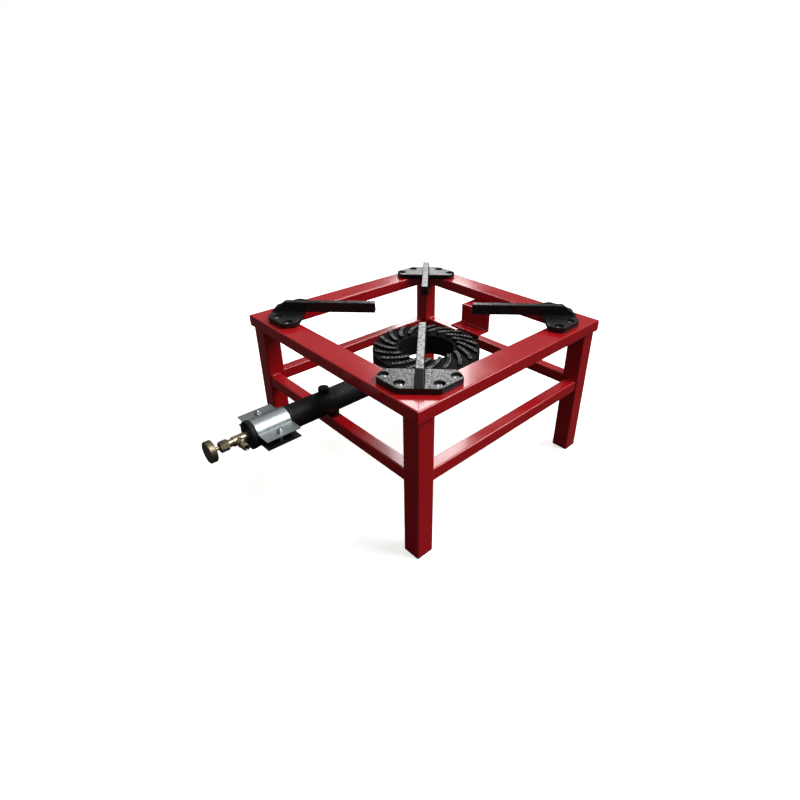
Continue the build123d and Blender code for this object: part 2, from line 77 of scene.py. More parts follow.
# A weld bead: its share of a seam, and places along one ripple with the share of the radius there
WELD_SPAN = 0.8
RIPPLE = ((0.15, 0.85), (0.5, 1.0), (0.8, 0.95))

# A rivet's swollen tail: shares of the shank's radius, and of the way down to the tail's end
RIVET_TAIL = ((1.0, 0.55), (1.3, 0.75), (0.9, 1.0))

# The broken mandrel in a rivet: how wide its bottom is, as a share of its hole
MANDREL_BOTTOM = 0.7

# A hose barb: how far its level part has fallen where the slope begins, as a share of its edge
BARB_FALL = 0.3

# Steps round turned pieces, steps along a rib, and the angles of a rounded quarter
TURNED_STEPS = 48
RING_STEPS = 144
KNOB_STEPS = 72
ROD_STEPS = 32
SHANK_STEPS = 24
BEAD_STEPS = 16
RIB_STEPS = 12
QUARTER = [math.radians(15 * k) for k in range(7)]

# How far a cutter reaches past a face, and a hexagon's blank past its corners as a share
OVERCUT = MM
BLANK_REACH = 1.05

# What counts as one point and as one plane
SAME_POINT = 0.005 * MM
SAME_PLANE = math.radians(0.5)

# Sockets of a Mix node of colours: the share of the second colour, then both colours
SHARE, FIRST, SECOND = 0, 6, 7


# Places read from the solids, in metres
def low(node):
    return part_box(node)[0]


def high(node):
    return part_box(node)[1]


def middle(node):
    return (low(node) + high(node)) / 2


axis_z = middle("knob").z
stand_middle = (middle("top_rail_front") + middle("top_rail_back")) / 2
burner_middle = middle("burner_head")
arm_top = high("pan_support_back_left").z


# Sizes and colours that a user may change
def linear(code):
    """An sRGB hex colour as linear red, green and blue."""
    channels = [int(code[k:k + 2], 16) / 255 for k in (1, 3, 5)]
    return tuple(c / 12.92 if c <= 0.04045 else ((c + 0.055) / 1.055) ** 2.4 for c in channels)


def length(name, description, default):
    return bpy.props.FloatProperty(
        name=name, description=description, default=default, min=0, precision=5,
        subtype="DISTANCE", unit="LENGTH",
    )


def angle(name, description, degrees):
    return bpy.props.FloatProperty(
        name=name, description=description, default=math.radians(degrees), subtype="ANGLE", unit="ROTATION",
    )


def amount(name, description, default, **settings):
    return bpy.props.FloatProperty(name=name, description=description, default=default, min=0, **settings)


def count(name, description, default):
    return bpy.props.IntProperty(name=name, description=description, default=default, min=1)


def colour(name, description, code):
    return bpy.props.FloatVectorProperty(
        name=name, description=description, default=linear(code), min=0, max=1, size=3, subtype="COLOR",
    )


class StoveSizes(bpy.types.PropertyGroup):
    """Sizes of the finished pieces that the solids leave plain"""

    tube_edge: length("Tube edge", "Rounding of the tubes' cut ends", 0.35 * MM)
    strap_edge: length("Strap edge", "Rounding of the bracket's sheared edges", 0.5 * MM)
    casting_edge: length("Casting edge", "Rounding of the castings' outer edges", 1.0 * MM)
    head_edge: length("Head edge", "Rounding of the burner head's rims", 0.6 * MM)
    sheet_edge: length("Sheet edge", "Rounding of the shutter's sheet edges", 0.25 * MM)
    plug_edge: length("Plug edge", "Rounding of the moulded leg plugs", 0.5 * MM)
    turned_edge: length("Turned edge", "Rounding of turned brass edges", 0.3 * MM)
    ring_hole_radius: length("Ring hole", "Radius of the hole in the middle of the burner", 49 * MM)
    rib_inner_radius: length("Rib start", "From the burner's axis to a rib's inner end", 54 * MM)
    rib_outer_radius: length("Rib end", "From the burner's axis to a rib's outer end", 90 * MM)
    rib_fall: length("Rib fall", "How much lower a rib's crest is at its outer end", 2.8 * MM)
    rib_height: length("Rib height", "From the head's joint to a rib's highest point", 9.8 * MM)
    rib_width: length("Rib width", "Width of a rib", 6.4 * MM)
    rib_rounding: length("Rib rounding", "Rounding of a rib's crest", 1.2 * MM)
    rib_sweep: angle("Rib sweep", "How far a rib turns round the burner from end to end", 26)
    rib_count: count("Ribs", "Number of swirl ribs", 19)
    ports_in_rib: count("Ports in a rib", "Number of gas ports in a rib", 8)
    port_width: length("Port width", "Width of a square gas port", 3.6 * MM)
    head_thickness: length("Head thickness", "Thickness of the burner head between its ribs", 3 * MM)
    head_boss: length("Head boss", "Diameter of the bosses under the head, which take its screws", 12 * MM)
    head_tapping: length("Head tapping", "How far the screws' holes go up past the head's joint", 1 * MM)
    rivet_flange: length("Rivet flange", "Diameter of a rivet's domed flange", 12.5 * MM)
    rivet_dome: length("Rivet dome", "Height of a rivet's domed flange", 2.2 * MM)
    rivet_brim: length("Rivet brim", "Thickness of a rivet's flange at its rim", 0.5 * MM)
    rivet_edge: length("Rivet edge", "Chamfer under a rivet's rim, and rise of its mandrel", 0.2 * MM)
    rivet_lip: length("Rivet lip", "Width of the chamfer round a rivet's mandrel", 0.3 * MM)
    rivet_lip_depth: length("Rivet lip depth", "Depth of the chamfer round a rivet's mandrel", 0.25 * MM)
    rivet_shank: length("Rivet shank", "Diameter of a rivet's shank", 4.8 * MM)
    rivet_hole: length("Rivet hole", "Diameter of the hole that a rivet's shank passes through", 5 * MM)
    rivet_mandrel: length("Rivet mandrel", "Diameter of the broken mandrel in a rivet", 3.6 * MM)
    rivet_seat: length("Rivet seat", "Diameter of the round seat that a rivet lies in", 15.2 * MM)
    seat_depth: length("Seat depth", "From the plate's top down to a rivet's seat", 5.5 * MM)
    seat_lip: length("Seat lip", "Chamfer at the mouth of a rivet's seat", 0.5 * MM)
    rivet_near_corner: length("Near rivet", "From the corner's middle to the nearer rivet", 37 * MM)
    rivet_far_corner: length("Far rivet", "From the corner's middle to the farther rivet", 69 * MM)
    shutter_bolt: length("Shutter bolt", "Thread diameter of the shutter's bolts", 5 * MM)
    shutter_bolt_offset: length("Shutter bolt offset", "From the tube's middle to each shutter bolt", 31 * MM)
    fixing_bolt: length("Fixing bolt", "Thread diameter of the burner's two bolts", 6 * MM)
    head_screw: length("Head screw", "Thread diameter of the screws under the burner head", 5 * MM)
    thread_pitch: length("Thread pitch", "Distance between thread crests", 0.9 * MM)
    spindle_bore: length("Spindle bore", "Diameter of the holes that the spindle passes through", 5.16 * MM)
    bonnet_bore: length("Bonnet bore", "Diameter of the gland nut's thread", 11.1 * MM)
    nut_wall: length("Nut wall", "Length of the gland nut in front of its thread", 6.5 * MM)
    nozzle_thread: length("Nozzle thread", "Length of the hose nozzle's thread", 6 * MM)
    nozzle_thread_diameter: length("Nozzle thread diameter", "Diameter of the hose nozzle's thread", 8 * MM)
    nozzle_collar: length("Nozzle collar", "Length of the hose nozzle's collar", 3 * MM)
    nozzle_root: length("Nozzle root", "Diameter of the hose nozzle between its barbs", 8.8 * MM)
    nozzle_crest: length("Nozzle crest", "Diameter of the hose nozzle's barbs", 10.6 * MM)
    nozzle_land: length("Nozzle land", "Length of a barb's level part", 2 * MM)
    nozzle_slope: length("Nozzle slope", "Length of a barb's sloping part", 3 * MM)
    nozzle_bore: length("Nozzle bore", "Diameter of the hose nozzle's bore", 5 * MM)
    knob_rim: length("Knob rim", "Rounding of the knob's rim", 1.6 * MM)
    knob_band: length("Knob band", "Width of the band round the knob's dished front", 2.56 * MM)
    knob_dish: length("Knob dish", "Depth of the dished front of the knob", 0.6 * MM)
    knob_screw: length("Knob screw", "Thread diameter of the knob's screw", 3.4 * MM)
    knob_screw_head: length("Knob screw head", "Diameter of the sink for the knob's screw", 6.4 * MM)
    knob_socket: length("Knob socket", "Depth of the hole in the knob for the spindle", 6.1 * MM)
    weld_radius: length("Weld", "Radius of the weld beads", 1.7 * MM)
    weld_ripple: length("Weld ripple", "Distance between the ripples of a weld bead", 2.1 * MM)


class StoveColours(bpy.types.PropertyGroup):
    """Colours of the finishes"""

    enamel: colour("Enamel", "Red gloss enamel", "#B8141C")
    enamel_deep: colour("Deep enamel", "Red where the coat is thicker", "#A81018")
    iron: colour("Cast iron", "Black paint on cast iron", "#0A0A0B")
    iron_pale: colour("Pale cast iron", "Grain tips of the black castings", "#1D1E20")
    # Worn iron is partly rubbed wear and partly a painted highlight on the burner's rib crests.
    worn_and_highlit_iron: colour("Worn iron", "Rubbed crests of the burner's ribs", "#8A8B8B")
    bare_iron: colour("Bare iron", "Ground tops of the pan supports", "#5E5D5D")
    bare_pits: colour("Bare iron pits", "Pits left in the ground tops", "#161616")
    zinc: colour("Zinc", "Hot-dip galvanised sheet", "#B7BFC1")
    plating: colour("Plating", "Zinc-plated fasteners", "#B9BCBE")
    brass: colour("Brass", "Machined brass", "#CBBD9C")
    tarnish: colour("Tarnished brass", "Brown tarnish on brass", "#564D3D")
    plug: colour("Plug", "Black moulded plugs", "#151515")
    packing: colour("Packing", "Graphite packing", "#2A2B2C")
    floor: colour("Floor", "Pale studio floor", "#F4F3F1")


class StoveStudio(bpy.types.PropertyGroup):
    """Floor, lights and camera"""

    floor_size: length("Floor size", "Width of the floor", 60)
    floor_bounce: amount("Floor bounce", "Share of light that the floor throws back", 0.05, subtype="FACTOR")
    floor_glow: amount("Floor glow", "Light that lifts the floor for the camera alone", 0.72)
    fill_strength: amount("Fill", "Strength of the sky straight above", 0.45)
    horizon: amount("Horizon", "Share of the sky's strength at the horizon", 0.1, subtype="FACTOR")
    sun_strength: amount("Sun", "Strength of the overhead light", 2.8)
    sun_spread: angle("Sun spread", "Breadth of the overhead light", 35)
    sun_direction: bpy.props.FloatVectorProperty(
        name="Sun direction", description="Towards the overhead light", default=(0.58, 0.68, 1.0),
        subtype="DIRECTION",
    )
    panel_power: amount("Panel", "Power of the soft panel behind the stove", 18.0, unit="POWER")
    panel_width: length("Panel width", "Width of the soft panel", 0.52)
    panel_height: length("Panel height", "Height of the soft panel", 1.22)
    panel_distance: length("Panel distance", "Level distance from the camera's target to the panel", 2.4)
    panel_elevation: angle("Panel elevation", "The panel's height over the camera's target", 32.3)
    panel_turn: angle("Panel turn", "How far the panel stands from straight behind the stove", 0.8)
    target: bpy.props.FloatVectorProperty(
        name="Target", description="Point that the camera looks at", default=(0.0066, stand_middle.y, 0.1454),
        subtype="TRANSLATION", unit="LENGTH",
    )
    distance: length("Distance", "From the camera to its target", 0.9373)
    azimuth: angle("Azimuth", "Camera's turn round the stove from the front", 45.79)
    elevation: angle("Elevation", "Camera's height over the floor's plane, as an angle", 28.92)
    roll: angle("Roll", "Camera's tilt about its own line of sight", 0.54)
    lens: amount("Lens", "Focal length", 23.58, unit="CAMERA")
    shift: bpy.props.FloatVectorProperty(
        name="Shift", description="Camera shift that gives the photograph's framing",
        default=(-0.0321, -0.0303), size=2,
    )
    nearest: length("Nearest", "Nearest distance that the camera sees", 10 * MM)


# Modelling
def select_only(piece):
    bpy.ops.object.select_all(action="DESELECT")
    piece.select_set(True)
    bpy.context.view_layer.objects.active = piece


def apply_modifier(piece, kind, **settings):
    """Adds a modifier with its settings and applies it."""
    select_only(piece)
    modifier = piece.modifiers.new(kind.title(), kind)
    for name, value in settings.items():
        setattr(modifier, name, value)
    bpy.ops.object.modifier_apply(modifier=modifier.name)


def smooth(piece, degrees=35):
    """Smooth shading up to an angle, with flat faces kept flat."""
    select_only(piece)
    bpy.ops.object.shade_smooth_by_angle(angle=math.radians(degrees))
    apply_modifier(piece, "WEIGHTED_NORMAL", keep_sharp=True)
    return piece


def soften(piece, width, segments=2, degrees=30):
    """Rounds the sharp edges of a piece, and shades it smooth."""
    select_only(piece)
    bpy.ops.object.mode_set(mode="EDIT")
    bpy.ops.mesh.select_mode(type="EDGE")
    bpy.ops.mesh.select_all(action="DESELECT")
    bpy.ops.mesh.edges_select_sharp(sharpness=math.radians(degrees))
    bpy.ops.mesh.bevel(offset=width, segments=segments, affect="EDGES", clamp_overlap=False, loop_slide=False)
    bpy.ops.object.mode_set(mode="OBJECT")
    return smooth(piece)


def linked(name, mesh):
    """A new object in the scene with a copy of a mesh."""
    piece = bpy.data.objects.new(name, mesh.copy())
    bpy.context.scene.collection.objects.link(piece)
    return piece


def merged_copy(node):
    """A copy of a CAD node with its loose triangles merged into whole faces."""
    piece = linked(f"{node}_finished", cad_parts[node].data)
    select_only(piece)
    bpy.ops.mesh.customdata_custom_splitnormals_clear()
    bpy.ops.object.mode_set(mode="EDIT")
    bpy.ops.mesh.select_mode(type="VERT")
    bpy.ops.mesh.select_all(action="SELECT")
    bpy.ops.mesh.remove_doubles(threshold=SAME_POINT)
    bpy.ops.mesh.dissolve_limited(angle_limit=SAME_PLANE)
    bpy.ops.object.mode_set(mode="OBJECT")
    return piece


def drawn(name, points):
    """A chain of edges through points, left selected in edit mode."""
    # A small plane, merged into one point, starts the chain.
    bpy.ops.object.select_all(action="DESELECT")
    bpy.ops.mesh.primitive_plane_add(size=MM)
    piece = bpy.context.object
    piece.name = name
    bpy.ops.object.mode_set(mode="EDIT")
    bpy.ops.mesh.select_mode(type="VERT")
    bpy.ops.mesh.select_all(action="SELECT")
    bpy.ops.mesh.merge(type="CENTER")
    bpy.ops.transform.translate(value=points[0])
    for last, point in zip(points, points[1:]):
        bpy.ops.mesh.extrude_vertices_move(TRANSFORM_OT_translate={"value": point - last})
    bpy.ops.mesh.select_all(action="SELECT")
    return piece


def turned(name, profile, steps=TURNED_STEPS):
    """A piece turned about the Z axis from (radius, height) points, closed if it ends where it starts."""
    piece = drawn(name, [Vector((radius, 0, height)) for radius, height in profile])
    bpy.ops.mesh.spin(steps=steps, angle=2 * math.pi, center=(0, 0, 0), axis=(0, 0, 1))
    bpy.ops.mesh.select_all(action="SELECT")
    bpy.ops.mesh.remove_doubles(threshold=SAME_POINT)
    bpy.ops.mesh.normals_make_consistent(inside=False)
    bpy.ops.object.mode_set(mode="OBJECT")
    return piece


def combine(piece, other, operation):
    """Joins, cuts or intersects a piece with another one, which is then used up."""
    apply_modifier(piece, "BOOLEAN", object=other, operation=operation, solver="EXACT")
    bpy.data.objects.remove(other)
    return piece


def settle(piece, place):
    """Moves a piece to its place and leaves the place in its mesh."""
    select_only(piece)
    piece.matrix_world = place @ piece.matrix_world
    bpy.ops.object.transform_apply(location=True, rotation=True, scale=True)
    return piece


def copied(piece, name, place):
    """A copy of a piece, with a mesh of its own, at another place."""
    return settle(linked(name, piece.data), place)


def joined(pieces):
    """Pieces as one object, the last of them."""
    select_only(pieces[-1])
    for piece in pieces:
        piece.select_set(True)
    if len(pieces) > 1:
        bpy.ops.object.join()
    return pieces[-1]


def spin(turn):
    """A turn about the Z axis."""
    return Matrix.Rotation(turn, 4, "Z")


def round_the_axis(piece, number):
    """A piece and its copies in a ring about the Z axis, as one object."""
    twins = [copied(piece, piece.name, spin(2 * math.pi * k / number)) for k in range(1, number)]
    return joined([*twins, piece])


def round_the_stand(degrees):
    """A turn about the upright line through the middle of the stand."""
    centre = Matrix.Translation((stand_middle.x, stand_middle.y, 0))
    return centre @ spin(math.radians(degrees)) @ centre.inverted()


def along_tube(y):
    """The place on the mixing tube's axis at y, with Z laid along +Y."""
    return Matrix.Translation((0, y, axis_z)) @ Matrix.Rotation(math.radians(-90), 4, "X")


def along_branch(x, y):
    """The place on the valve's side branch at x, with Z laid along +X."""
    return Matrix.Translation((x, y, axis_z)) @ Matrix.Rotation(math.radians(90), 4, "Y")


def hexagon(name, flats, height):
    """A hexagon with its corners turned off, standing on Z = 0."""
    corner = flats / math.sqrt(3)
    rim = CHAMFER_RIM * flats / 2
    reach = BLANK_REACH * corner
    fall = (reach - rim) * math.tan(CHAMFER_ANGLE)
    profile = [(0, 0), (rim, 0), (reach, fall), (reach, height - fall), (rim, height), (0, height)]
    # Half a step of turn keeps the round blank's edges off the hexagon's corners.
    blank = settle(turned(name, profile), spin(math.pi / TURNED_STEPS))
    bpy.ops.object.select_all(action="DESELECT")
    # The six-sided rod passes both ends of the blank, since its middle is at Z = 0.
    bpy.ops.mesh.primitive_cylinder_add(vertices=6, radius=corner, depth=3 * height)
    return combine(blank, bpy.context.object, "INTERSECT")


def thread_profile(radius, start, end, pitch):
    """Points up the side of a screw thread, drawn as rings."""
    root = radius - THREAD_DEPTH * pitch
    turns = round((end - start) / pitch)
    step = (end - start) / turns
    points = [(root, start)]
    for k in range(turns):
        points += [(radius, start + (k + 0.5) * step), (root, start + (k + 1) * step)]
    return points


def hex_bolt(name, diameter, reach, pitch):
    """A hexagon bolt that points up: its head hangs under Z = 0 and its thread reaches up."""
    head_height = HEAD_HEIGHT * diameter
    bolt = settle(hexagon(name, HEAD_FLATS * diameter, head_height), Matrix.Translation((0, 0, -head_height)))
    radius = diameter / 2
    plain = PLAIN_SHANK * diameter
    thread = thread_profile(radius, plain, reach - THREAD_END * pitch, pitch)
    profile = [(0, -head_height / 2), (radius, -head_height / 2), (radius, plain), *thread, (0, reach)]
    return combine(bolt, turned(f"{name}_shank", profile, SHANK_STEPS), "UNION")


def hex_nut(name, diameter):
    """A hexagon nut standing on Z = 0."""
    height = HEAD_HEIGHT * diameter
    nut = hexagon(name, HEAD_FLATS * diameter, height)
    radius = diameter / 2 + NUT_ROOM
    mouth = radius + NUT_MOUTH
    profile = [(0, -OVERCUT), (mouth, -OVERCUT), (mouth, 0), (radius, NUT_MOUTH)]
    profile += [(radius, height - NUT_MOUTH), (mouth, height)]
    profile += [(mouth, height + OVERCUT), (0, height + OVERCUT)]
    return combine(nut, turned(f"{name}_bore", profile, SHANK_STEPS), "DIFFERENCE")


def dress(piece, finish, body, slot, *nodes):
    """Gives a finished piece its material and the body it moves with, and hides the nodes it stands for. The
    slot is not used.
    """
    piece.data.materials.clear()
    piece.data.materials.append(material(finish))
    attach(piece, body)
    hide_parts(*nodes)


def set_out(first, places, finish, body, slot, *nodes):
    """Copies a first piece to each named place, dresses the copies and takes the first away."""
    for name, place in places.items():
        dress(copied(first, name, place), finish, body, slot, *nodes)
    bpy.data.objects.remove(first)


def finish_copy(node, finish, body, slot, edge=0, degrees=30):
    """Finishes a merged copy of a CAD node, with its edges rounded where an edge is given."""
    piece = merged_copy(node)
    if edge:
        soften(piece, edge, degrees=degrees)
    else:
        smooth(piece)
    dress(piece, finish, body, slot, node)


# Materials
def add(tree, kind, inputs=None, **settings):
    """Adds a node: its settings, then each input by name or number, as a value or as a link."""
    node = tree.nodes.new(f"ShaderNode{kind}")
    for name, value in settings.items():
        setattr(node, name, value)
    for key, value in (inputs or {}).items():
        socket = node.inputs[key]
        if isinstance(value, bpy.types.Node):
            value = next(output for output in value.outputs if output.enabled)
        if isinstance(value, bpy.types.NodeSocket):
            tree.links.new(value, socket)
        elif socket.type == "RGBA":
            socket.default_value = (*value, 1)
        else:
            socket.default_value = value
    return node


def per(millimetres):
    """A texture scale that repeats about once in a number of millimetres."""
    return 1 / (millimetres * MM)


def scaled(tone, share):
    """A colour that keeps a share of its brightness."""
    return [share * channel for channel in tone]


def empty_tree(owner):
    """The node tree of a material or a world, with no nodes in it."""
    owner.use_nodes = True
    owner.node_tree.nodes.clear()
    return owner.node_tree


def material(finish):
    """The material that a finish function describes, made once and named for it."""
    found = bpy.data.materials.get(finish.__name__)
    if found:
        return found
    made = bpy.data.materials.new(finish.__name__)
    tree = empty_tree(made)
    place = add(tree, "TexCoord").outputs["Object"]
    shader = add(tree, "BsdfPrincipled", finish(tree, place, bpy.context.scene.stove_colours))
    add(tree, "OutputMaterial", {"Surface": shader})
    return made


def gloss_enamel_on_steel(tree, place, colours):
    """Gloss alkyd enamel sprayed on steel tube."""
    # A deep red with a wet gloss, which orange peel breaks up a little and a thicker coat darkens in places.
    drift = add(tree, "TexNoise", {"Vector": place, "Scale": per(70), "Detail": 2.0})
    tone = add(
        tree, "Mix", {SHARE: drift, FIRST: colours.enamel_deep, SECOND: colours.enamel}, data_type="RGBA",
    )
    peel = add(tree, "TexNoise", {"Vector": place, "Scale": per(2), "Detail": 1.0})
    wave = add(tree, "Bump", {"Height": peel, "Strength": 0.05, "Distance": 0.1 * MM})
    haze = add(
        tree, "MapRange", {"Value": drift, "From Min": 0.3, "From Max": 0.7, "To Min": 0.15, "To Max": 0.23},
    )
    return {
        "Base Color": tone,
        "Roughness": haze,
        "Normal": wave,
        "IOR": 1.5,
        "Coat Weight": 0.25,
        "Coat Roughness": 0.08,
    }


def sandy_paint(tree, place, colours, dullest, glossiest):
    """Black paint over sand-cast iron: its grain, its colour and its roughness from pits to grain tips."""
    # Moulding sand is half of this size, which would not show in the render.
    sand = add(tree, "TexNoise", {"Vector": place, "Scale": per(2), "Detail": 6.0})
    tips = add(tree, "MapRange", {"Value": sand, "From Min": 0.45, "From Max": 0.75})
    tone = add(tree, "Mix", {SHARE: tips, FIRST: colours.iron, SECOND: colours.iron_pale}, data_type="RGBA")
    gloss = add(
        tree, "MapRange",
        {"Value": sand, "From Min": 0.38, "From Max": 0.62, "To Min": dullest, "To Max": glossiest},
    )
    return sand, tone, gloss


def black_painted_cast_iron(tree, place, colours):
    """Grey iron cast in sand and painted black."""
    # A sandy grain under thin black paint: dull, with a grey sheen where light grazes it.
    sand, tone, gloss = sandy_paint(tree, place, colours, dullest=0.7, glossiest=0.45)
    lumps = add(tree, "TexNoise", {"Vector": place, "Scale": per(9), "Detail": 2.0})
    uneven = add(tree, "Bump", {"Height": lumps, "Strength": 0.25, "Distance": 0.5 * MM})
    grain = add(tree, "Bump", {"Height": sand, "Strength": 1.0, "Distance": 0.5 * MM, "Normal": uneven})
    return {"Base Color": tone, "Roughness": gloss, "Normal": grain, "Specular IOR Level": 0.25}


def cast_iron_worn_and_highlit_on_ribs(tree, place, colours):
    """Black painted cast iron whose rib crests are grey: partly rubbed and burnt wear, partly a painted
    highlight.
    """
    # Dark sandy iron, with grey along the flat of each crest, stronger in some patches than in others; the
    # grey is partly wear and partly a painted highlight on every crest.
    sand, painted, gloss = sandy_paint(tree, place, colours, dullest=0.9, glossiest=0.65)
    sizes = bpy.context.scene.stove_sizes
    centred = add(tree, "VectorMath", {0: place, 1: burner_middle}, operation="SUBTRACT")
    flat = add(tree, "VectorMath", {0: centred, 1: (1, 1, 0)}, operation="MULTIPLY")
    radius = add(tree, "VectorMath", {0: flat}, operation="LENGTH")
    crest_high = high("burner_head").z
    crest = add(
        tree, "MapRange",
        {"Value": radius, "From Min": sizes.rib_inner_radius, "From Max": sizes.rib_outer_radius,
         "To Min": crest_high, "To Max": crest_high - sizes.rib_fall},
    )
    height = add(tree, "SeparateXYZ", {"Vector": place}).outputs["Z"]
    under = add(tree, "Math", {0: crest, 1: height}, operation="SUBTRACT")
    # Painted highlight and wear: grey near the top of each crest, wherever the light falls.
    top = add(tree, "MapRange", {"Value": under, "From Min": 0.6 * MM, "From Max": 0.3 * MM})
    patches = add(tree, "TexNoise", {"Vector": place, "Scale": per(12), "Detail": 2.0})
    rubbed = add(
        tree, "MapRange",
        {"Value": patches, "From Min": 0.38, "From Max": 0.56, "To Min": 0.25, "To Max": 1.0},
    )
    wear_and_highlight = add(tree, "Math", {0: top, 1: rubbed}, operation="MULTIPLY")
    tone = add(tree, "Mix", {SHARE: wear_and_highlight, FIRST: painted, SECOND: colours.worn_and_highlit_iron}, data_type="RGBA")
    grain = add(tree, "Bump", {"Height": sand, "Strength": 1.0, "Distance": 0.4 * MM})
    return {"Base Color": tone, "Roughness": gloss, "Normal": grain, "Specular IOR Level": 0.12}


def cast_iron_ground_on_top(tree, place, colours):
    """Black painted cast iron whose arm tops are ground to bare metal."""
    # Pale grey metal with dark pits on the level tops, and the black sandy casting everywhere else.
    sand, painted, gloss = sandy_paint(tree, place, colours, dullest=0.5, glossiest=0.22)
    lumps = add(tree, "TexNoise", {"Vector": place, "Scale": per(4), "Detail": 3.0})
    pits = add(tree, "MapRange", {"Value": lumps, "From Min": 0.43, "From Max": 0.53})
    ground = add(
        tree, "Mix", {SHARE: pits, FIRST: colours.bare_pits, SECOND: colours.bare_iron}, data_type="RGBA",
    )
    height = add(tree, "SeparateXYZ", {"Vector": place}).outputs["Z"]
    bare = add(
        tree, "MapRange", {"Value": height, "From Min": arm_top - 0.3 * MM, "From Max": arm_top - 0.1 * MM},
    )
    tone = add(tree, "Mix", {SHARE: bare, FIRST: painted, SECOND: ground}, data_type="RGBA")
    metal = add(tree, "Math", {0: bare, 1: 0.9}, operation="MULTIPLY")
    sheen = add(tree, "MapRange", {"Value": bare, "To Min": gloss, "To Max": 0.34})
    rough = add(tree, "MapRange", {"Value": bare, "To Min": 1.0, "To Max": 0.35})
    grain = add(tree, "Bump", {"Height": sand, "Strength": rough, "Distance": 0.3 * MM})
    return {"Base Color": tone, "Metallic": metal, "Roughness": sheen, "Normal": grain}


def galvanised_steel_sheet(tree, place, colours, brightness=1.0):
    """Hot-dip galvanised steel sheet."""
    # Grey zinc in flat crystals a few millimetres wide, each with its own gloss.
    crystals = add(tree, "TexVoronoi", {"Vector": place, "Scale": per(6)})
    pick = add(tree, "SeparateColor", {"Color": crystals.outputs["Color"]})
    bright = scaled(colours.zinc, brightness)
    dull = scaled(bright, 0.88)
    tone = add(tree, "Mix", {SHARE: pick.outputs["Red"], FIRST: dull, SECOND: bright}, data_type="RGBA")
    gloss = add(tree, "MapRange", {"Value": pick.outputs["Green"], "To Min": 0.34, "To Max": 0.46})
    rolled = add(tree, "TexNoise", {"Vector": place, "Scale": per(12), "Detail": 2.0})
    wave = add(tree, "Bump", {"Height": rolled, "Strength": 0.1, "Distance": 0.3 * MM})
    return {"Base Color": tone, "Metallic": 1.0, "Roughness": gloss, "Normal": wave}


def galvanised_sheet_in_painted_shade(tree, place, colours):
    """The same sheet, darkened as painted shade."""
    # Dark grey metal in which the crystals only just show: painted shade under the upper shell's flanges, at
    # a third of the sheet's brightness.
    return galvanised_steel_sheet(tree, place, colours, brightness=0.3)


def zinc_plated_steel(tree, place, colours):
    """Bright zinc plating on steel fasteners."""
    # Pale grey metal, smooth, with faint handling marks that vary the gloss.
    marks = add(tree, "TexNoise", {"Vector": place, "Scale": per(2), "Detail": 3.0})
    gloss = add(tree, "MapRange", {"Value": marks, "To Min": 0.18, "To Max": 0.42})
    handled = scaled(colours.plating, 0.75)
    tone = add(tree, "Mix", {SHARE: marks, FIRST: handled, SECOND: colours.plating}, data_type="RGBA")
    return {"Base Color": tone, "Metallic": 1.0, "Roughness": gloss}


def machined_brass(tree, place, colours, tarnish=0.25):
    """Machined brass with a share of brown tarnish."""
    # Dull yellow metal, browner in patches where it has been handled and heated.
    patches = add(tree, "TexNoise", {"Vector": place, "Scale": per(5), "Detail": 4.0})
    least = tarnish - 0.2
    most = tarnish + 0.2
    browned = add(
        tree, "MapRange",
        {"Value": patches, "From Min": 0.3, "From Max": 0.7, "To Min": least, "To Max": most},
    )
    tone = add(tree, "Mix", {SHARE: browned, FIRST: colours.brass, SECOND: colours.tarnish}, data_type="RGBA")
    gloss = add(tree, "MapRange", {"Value": browned, "To Min": 0.22, "To Max": 0.5})
    fine = add(tree, "TexNoise", {"Vector": place, "Scale": per(0.8), "Detail": 2.0})
    skin = add(tree, "Bump", {"Height": fine, "Strength": 0.15, "Distance": 0.1 * MM})
    return {"Base Color": tone, "Metallic": 1.0, "Roughness": gloss, "Normal": skin}


def tarnished_brass(tree, place, colours):
    """The same brass, mostly tarnished."""
    # Brown metal with a dull sheen, and yellow only where fingers have rubbed it.
    return machined_brass(tree, place, colours, tarnish=0.75)


def moulded_polyethylene(tree, place, colours):
    """Black polyethylene, moulded."""
    # A dull black with the fine grain of its mould and scuffs from the floor.
    grain = add(tree, "TexNoise", {"Vector": place, "Scale": per(0.7), "Detail": 2.0})
    scuffs = add(tree, "TexNoise", {"Vector": place, "Scale": per(4), "Detail": 4.0})
    scuffed = scaled(colours.plug, 2.2)
    tone = add(tree, "Mix", {SHARE: scuffs, FIRST: colours.plug, SECOND: scuffed}, data_type="RGBA")
    skin = add(tree, "Bump", {"Height": grain, "Strength": 0.3, "Distance": 0.1 * MM})
    return {"Base Color": tone, "Roughness": 0.55, "Normal": skin}


def braided_graphite(tree, place, colours):
    """Braided graphite packing."""
    # Dark grey strands that cross each other, with a soft metallic sheen.
    wave = add(
        tree, "TexWave", {"Vector": place, "Scale": per(6), "Distortion": 2.0}, bands_direction="DIAGONAL",
    )
    strands = wave.outputs["Fac"]
    between = scaled(colours.packing, 0.4)
    tone = add(tree, "Mix", {SHARE: strands, FIRST: between, SECOND: colours.packing}, data_type="RGBA")
    braid = add(tree, "Bump", {"Height": strands, "Strength": 0.5, "Distance": 0.3 * MM})
    return {"Base Color": tone, "Metallic": 0.3, "Roughness": 0.5, "Normal": braid}


# Pieces
class STOVE_OT_stand(bpy.types.Operator):
    """Finishes the rails and legs: tubes with softened ends, in red enamel"""

    bl_idname = "stove.stand"
    bl_label = "Stand"

    def execute(self, context):
        nodes = [f"{kind}_{side}" for kind in ("top_rail", "lower_rail") for side in SIDES]
        nodes += [f"leg_{corner}" for corner in CORNERS]
        for node in nodes:
            finish_copy(node, gloss_enamel_on_steel, STAND, "red_paint", context.scene.stove_sizes.tube_edge)
        return {"FINISHED"}


